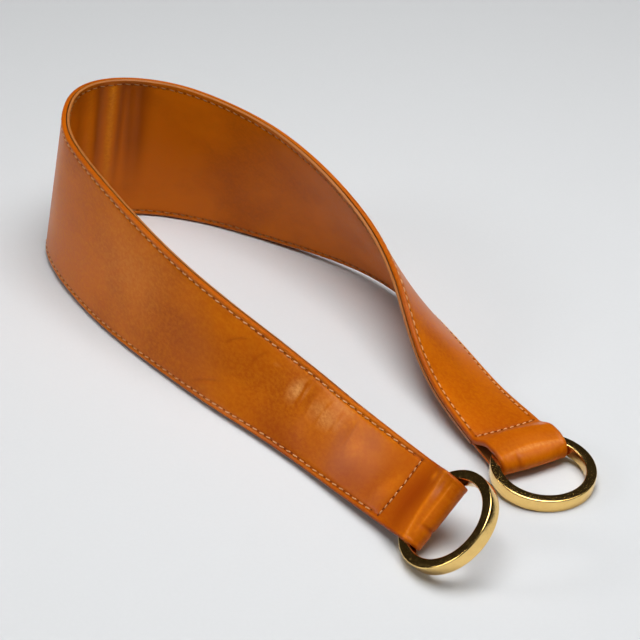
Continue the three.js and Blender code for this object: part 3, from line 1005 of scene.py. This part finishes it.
def inner_relief(plan, stitch):
    """Relief of the inner ply, whose grain side faces the neck."""

    def relief(run, y, edge, grain, width):
        lift = soft_folds(plan, run, y, width)
        pull = stitch_pull(plan, stitch, run, y, edge, width)
        return lift + (lining_pleats(plan, run, y, width) - LINING_PULL * pull) * (grain == 0)

    return relief


def outer_wear_and_painted_light(plan):
    """Paler or deeper colour of the outer ply at a place, from -1 to 1: a few scuffs and scratches,
    toned patches, and painted highlights and painted shade.
    """

    def painted_light_and_wear_at(run, y, width):
        spots = sum(soft_spot(plan, rub, run, y, width) * rub.share for rub in WEAR_AND_PAINTED_LIGHT)
        creases = crease_sum(plan, run, y, width, "rub")
        return np.clip(spots + creases + seam_and_rim_painted_shade(plan, run, y, width), -1, 1)

    return painted_light_and_wear_at


def lining_painted_light(plan):
    """Painted light of the lining at a place: a painted highlight on the ridges of its pleats, painted
    shade between them, along the stitch grooves and on the edges.
    """

    def painted_light_and_wear_at(run, y, width):
        pleats = -lining_pleats(plan, run, y, width) / PLEAT_PAINT_HEIGHT
        return np.clip(pleats + seam_and_rim_painted_shade(plan, run, y, width), -1, 1)

    return painted_light_and_wear_at


class STRAP_OT_outer_leather(bpy.types.Operator):
    """Sews up the outer ply, with its turned edges and the loop round each ring"""
    bl_idname = "strap.outer_leather"
    bl_label = "Outer leather"

    def execute(self, context):
        plan, body, loops = layout(context)
        colours = context.scene.strap_colours
        strip = outer_strip(plan, body, loops)
        share = strip.thickness / plan.size.outer_ply
        materials = [
            # Painted highlights on the outer ply mix towards the pale colour of its scuffs, and
            # painted shade mixes towards its deep grain.
            dyed_leather("glazed aniline cowhide", colours.grain[:], colours.deep_grain_and_shade[:],
                         colours.pale_grain_and_highlight[:], colours.scuff_and_highlight[:], roughness=0.40, coat=0.34),
            flesh_side("undressed flesh side", colours.flesh[:]),
        ]
        mesh = strip_mesh("outer_leather", strip, (TURNED_EDGE * share, TUCKED_EDGE * share, True),
                          outer_relief(plan, context.scene.strap_stitches), outer_wear_and_painted_light(plan),
                          lambda grain: 0 if grain else 1, materials)
        place_piece(mesh, "outer_leather", "leather", "outer_ply")
        return {"FINISHED"}


class STRAP_OT_inner_leather(bpy.types.Operator):
    """Lays in the inner ply, with its dressed edges"""
    bl_idname = "strap.inner_leather"
    bl_label = "Inner leather"

    def execute(self, context):
        plan, body, _ = layout(context)
        colours = context.scene.strap_colours
        strip = inner_strip(plan, body)
        ones = np.ones(len(strip.run))
        materials = [
            flesh_side("flesh side of the lining", colours.flesh[:]),
            # On the lining, painted highlights on pleat ridges mix towards the pale grain colour, and
            # painted shade mixes towards the deep lining colour.
            dyed_leather("glazed lining cowhide", colours.lining[:], colours.deep_lining_and_shade[:],
                         colours.grain[:], colours.pale_grain_and_highlight[:], roughness=0.45, coat=0.42),
            dressed_edge("waxed cut edge", colours.cut_edge[:]),
        ]
        mesh = strip_mesh("inner_leather", strip, (FIRM_EDGE * ones, LINING_EDGE * ones, False),
                          inner_relief(plan, context.scene.strap_stitches), lining_painted_light(plan),
                          lambda grain: (1, 0, 2)[grain], materials)
        place_piece(mesh, "inner_leather", "lining_leather", "inner_ply")
        return {"FINISHED"}


def stitch_parts(stitch, strip, relief, side, rows, rng):
    """Points, faces and material numbers of every stitch and needle hole on one face."""
    points, faces, slots = [], [], []
    radius = stitch.thread / 2
    profile = np.linspace(0, 1, STITCH_STEPS)
    arch = np.sin(math.pi * profile)
    grain_flag = np.array(1 if side > 0 else 0)

    def surface(run, y, lift):
        width = strip.read(strip.width, run)
        thickness = strip.read(strip.thickness, run)
        edge = width / 2 - np.abs(y)
        up = side * thickness / 2 + relief(run, y, edge, grain_flag, width) + side * lift
        return strip.point(run, y, up)

    def keep(new_points, new_faces, slot):
        start = sum(len(p) for p in points)
        points.append(new_points)
        faces.extend(tuple(start + i for i in face) for face in new_faces)
        slots.extend([slot] * len(new_faces))

    turn = 2 * math.pi * np.arange(HOLE_SIDES) / HOLE_SIDES
    fan = [(k, (k + 1) % HOLE_SIDES, HOLE_SIDES) for k in range(HOLE_SIDES)]
    fan += [((k + 1) % HOLE_SIDES, k, HOLE_SIDES + 1) for k in range(HOLE_SIDES)]
    for holes in rows:
        holes = np.array([(r + rng.uniform(-1, 1) * HAND_WANDER, y + rng.uniform(-1, 1) * HAND_WANDER)
                          for r, y in holes])
        for first, last in zip(holes, holes[1:]):
            way = (last - first) / np.linalg.norm(last - first)
            lean = np.array([-way[1], way[0]]) * stitch.slant
            first, last = first + lean / 2, last - lean / 2
            t = (STITCH_INSET + (1 - 2 * STITCH_INSET) * profile)[:, None]
            spots = first + (last - first) * t
            lift = radius * (STITCH_RISE * arch ** STITCH_ARCH - STITCH_DIVE * (1 - arch) ** 2)
            path = surface(spots[:, 0], spots[:, 1], lift)
            side_way = np.cross(path[-1] - path[0], strip.read(strip.out, spots[0, 0]))
            full = np.clip(arch * THREAD_SWELL, 0, 1)
            radii = radius * (THREAD_PINCH + (1 - THREAD_PINCH) * full)
            keep(*thread_parts(path, radii, side_way), 0)
        # Each needle hole is a shallow dark cone: painted shade for the depth of the hole.
        for run, y in holes:
            rim = surface(run + stitch.hole / 2 * np.cos(turn), y + stitch.hole / 2 * np.sin(turn),
                          HOLE_LIFT)
            middle = surface(np.array([run] * 2), np.array([y] * 2), np.array(HOLE_DEPTHS))
            keep(np.concatenate([rim, middle]), fan if side < 0 else [f[::-1] for f in fan], 1)
    return np.concatenate(points), faces, slots


def stitch_rows(plan, stitch, strip, side):
    """Needle holes of the two long rows and the two cross rows, as runs and places across."""
    runs = plan.pitch * np.arange(1, plan.stitches)
    sides = strip.read(strip.width, runs) / 2 - plan.inset
    rows = [list(zip(runs, sides)), list(zip(runs, -sides))]
    for run, way in ((0.0, -1), (plan.body_length, 1)):
        half = float(strip.read(strip.width, run)) / 2 - plan.inset
        spots = np.linspace(half, -half, round(2 * half / stitch.cross_pitch) + 1)
        back = 0.0 if side > 0 else SEAM_BOW + LINING_SEAM
        rows.append([(run + way * (seam_bow(y, half) - back), y) for y in spots])
    return rows


class STRAP_OT_stitching(bpy.types.Operator):
    """Sews the thread along both edges and across both ends, on both faces"""
    bl_idname = "strap.stitching"
    bl_label = "Stitching"

    def execute(self, context):
        plan, body, loops = layout(context)
        scene = context.scene
        stitch, colours = scene.strap_stitches, scene.strap_colours
        hole = needle_hole_shade("awl hole in leather", colours.hole[:])
        thread = waxed_thread("waxed linen thread", colours.thread[:])
        worn_thread = waxed_thread("waxed linen thread, darkened", colours.inner_thread[:])
        rng = random.Random(HAND_SEED)
        faces_of = {
            "outer_stitching": (outer_strip(plan, body, loops), outer_relief(plan, stitch), 1, thread),
            "inner_stitching": (inner_strip(plan, body), inner_relief(plan, stitch), -1, worn_thread),
        }
        for name, (strip, relief, side, material) in faces_of.items():
            rows = stitch_rows(plan, stitch, strip, side)
            points, faces, slots = stitch_parts(stitch, strip, relief, side, rows, rng)
            mesh = bpy.data.meshes.new(name)
            mesh.from_pydata(points.tolist(), [], faces)
            mesh.materials.append(material)
            mesh.materials.append(hole)
            mesh.polygons.foreach_set("material_index", slots)
            mesh.polygons.foreach_set("use_smooth", [True] * len(faces))
            mesh.update()
            place_piece(mesh, name, None)
        return {"FINISHED"}


def ring_profile(size):
    """Section of the ring's bar, as radius and height, round its four rounded corners."""
    inner, outer = size.ring_bore / 2, size.ring_bore / 2 + size.ring_wall
    half, bevel = size.ring_height / 2, size.ring_bevel
    corners = [(outer, -half, -90), (outer, half, 0), (inner, half, 90), (inner, -half, 180)]
    profile = []
    for radius, height, start in corners:
        middle_r = radius - math.copysign(bevel, radius - (inner + outer) / 2)
        middle_h = height - math.copysign(bevel, height)
        for i in range(BEVEL_STEPS + 1):
            angle = math.radians(start + 90 * i / BEVEL_STEPS)
            profile.append((middle_r + bevel * math.cos(angle), middle_h + bevel * math.sin(angle)))
    return profile


class STRAP_OT_rings(bpy.types.Operator):
    """Turns the two brass rings and hangs each in its leather loop"""
    bl_idname = "strap.rings"
    bl_label = "Brass rings"

    def execute(self, context):
        plan, _, loops = layout(context)
        profile = ring_profile(plan.size)
        count = len(profile)
        brass = polished_brass("polished brass", context.scene.strap_colours.brass[:])
        for end, loop in loops.items():
            points, faces = [], []
            for i in range(RING_SEGMENTS):
                turn = 2 * math.pi * i / RING_SEGMENTS
                for radius, height in profile:
                    points.append((radius * math.cos(turn), radius * math.sin(turn), height))
                for k in range(count):
                    after = (i + 1) % RING_SEGMENTS
                    a, b = i * count + k, i * count + (k + 1) % count
                    c, d = after * count + (k + 1) % count, after * count + k
                    faces.append((a, d, c, b))
            mesh = bpy.data.meshes.new(f"brass_ring_{end}")
            mesh.from_pydata(points, [], faces)
            axis = Vector(loop.turn((-math.sin(loop.angle), math.cos(loop.angle))))
            seat = Matrix.Translation(Vector(loop.ring_centre()))
            mesh.transform(seat @ axis.to_track_quat("Z", "Y").to_matrix().to_4x4())
            mesh.materials.append(brass)
            mesh.polygons.foreach_set("use_smooth", [True] * len(faces))
            mesh.update()
            place_piece(mesh, f"brass_ring_{end}", "brass", f"ring_{end}")
        return {"FINISHED"}


# The camera, from the photograph's perspective: where the picture's middle meets the surface that
# the strap lies on, seen from the strap's middle station, and how that point is looked at.
LOOK_DOWN = 31.0
LOOK_DISTANCE = 923.7 * MM
LOOK_AT_FROM_MIDDLE = (103.3 * MM, -86.5 * MM)
SURFACE_HEIGHT = 0.45 * MM
FOCAL_PIXELS = 2200
PICTURE_PIXELS = 640
SENSOR_MM = 36
FLOOR_HALF = 3.0
ROOM_COLOUR = "#D2C0A6"
ROOM_LIGHT = 0.03

Lamp = namedtuple("Lamp", "name azimuth elevation distance width height watts")

# Azimuth 0 is behind the strap as the camera sees it, and 90 to its right.
LAMPS = [
    Lamp("overhead_softbox", 125, 84, 1.4, 1.4, 1.2, 8.7),
    Lamp("near_softbox", 150, 80, 0.9, 0.7, 0.6, 7.0),
    Lamp("right_softbox", 98, 52, 1.6, 0.8, 0.6, 1.4),
    Lamp("left_softbox", -92, 30, 1.6, 0.5, 0.35, 4.6),
    Lamp("front_fill", 165, 38, 1.8, 1.2, 0.8, 1.0),
]


class STRAP_OT_stage(bpy.types.Operator):
    """Lays the paper floor and sets the lights and the camera"""
    bl_idname = "strap.stage"
    bl_label = "Stage"

    def execute(self, context):
        scene = context.scene
        plan, body, _ = layout(context)
        mesh = bpy.data.meshes.new("floor")
        corners = ((-1, -1), (1, -1), (1, 1), (-1, 1))
        mesh.from_pydata([(x * FLOOR_HALF, y * FLOOR_HALF, 0) for x, y in corners], [],
                         [(0, 1, 2, 3)])
        mesh.materials.append(seamless_paper("seamless paper", scene.strap_colours.floor[:]))
        floor = bpy.data.objects.new("floor", mesh)
        scene.collection.objects.link(floor)

        middle = body.read(body.centre, plan.body_length / 2)
        target = Vector((middle[0] + LOOK_AT_FROM_MIDDLE[0], middle[1] + LOOK_AT_FROM_MIDDLE[1],
                         SURFACE_HEIGHT))
        for lamp in LAMPS:
            data = bpy.data.lights.new(lamp.name, "AREA")
            data.shape = "RECTANGLE"
            data.size, data.size_y, data.energy = lamp.width, lamp.height, lamp.watts
            light = bpy.data.objects.new(lamp.name, data)
            a, e = math.radians(lamp.azimuth), math.radians(lamp.elevation)
            way = Vector((math.sin(a) * math.cos(e), math.cos(a) * math.cos(e), math.sin(e)))
            light.location = target + way * lamp.distance
            light.rotation_euler = (-way).to_track_quat("-Z", "Y").to_euler()
            scene.collection.objects.link(light)

        world = bpy.data.worlds.new("studio")
        world.use_nodes = True
        background = world.node_tree.nodes["Background"]
        background.inputs["Color"].default_value = from_hex(ROOM_COLOUR)
        background.inputs["Strength"].default_value = ROOM_LIGHT
        scene.world = world

        data = bpy.data.cameras.new("camera")
        data.sensor_width = SENSOR_MM
        data.lens = FOCAL_PIXELS / PICTURE_PIXELS * SENSOR_MM
        camera = bpy.data.objects.new("camera", data)
        down = math.radians(LOOK_DOWN)
        camera.location = target + LOOK_DISTANCE * Vector((0, -math.cos(down), math.sin(down)))
        camera.rotation_euler = (math.pi / 2 - down, 0, 0)
        scene.collection.objects.link(camera)
        scene.camera = camera
        scene.view_settings.view_transform = "Standard"
        return {"FINISHED"}


class STRAP_PT_panel(bpy.types.Panel):
    """The strap's operators and sizes"""
    bl_label = "Camera neck strap"
    bl_idname = "STRAP_PT_panel"
    bl_space_type = "VIEW_3D"
    bl_region_type = "UI"
    bl_category = "Strap"

    def draw(self, context):
        for operator in OPERATORS:
            self.layout.operator(operator.bl_idname)
        for group in (context.scene.strap_sizes, context.scene.strap_stitches,
                      context.scene.strap_colours):
            box = self.layout.box()
            for name in group.__annotations__:
                box.prop(group, name)


OPERATORS = (
    STRAP_OT_outer_leather,
    STRAP_OT_inner_leather,
    STRAP_OT_stitching,
    STRAP_OT_rings,
    STRAP_OT_stage,
)
GROUPS = {"strap_sizes": StrapSizes, "strap_stitches": StitchSizes, "strap_colours": StrapColours}


def register():
    """Makes the sizes, the operators and the panel known to Blender."""
    for name, group in GROUPS.items():
        bpy.utils.register_class(group)
        setattr(bpy.types.Scene, name, PointerProperty(type=group))
    for kind in (*OPERATORS, STRAP_PT_panel):
        bpy.utils.register_class(kind)


def unregister():
    """Takes them away again."""
    for kind in (STRAP_PT_panel, *reversed(OPERATORS)):
        bpy.utils.unregister_class(kind)
    for name, group in reversed(GROUPS.items()):
        delattr(bpy.types.Scene, name)
        bpy.utils.unregister_class(group)


def main():
    """Builds the strap and its stage."""
    register()
    bpy.ops.strap.outer_leather()
    bpy.ops.strap.inner_leather()
    bpy.ops.strap.stitching()
    bpy.ops.strap.rings()
    bpy.ops.strap.stage()


if __name__ == "__main__":
    main()
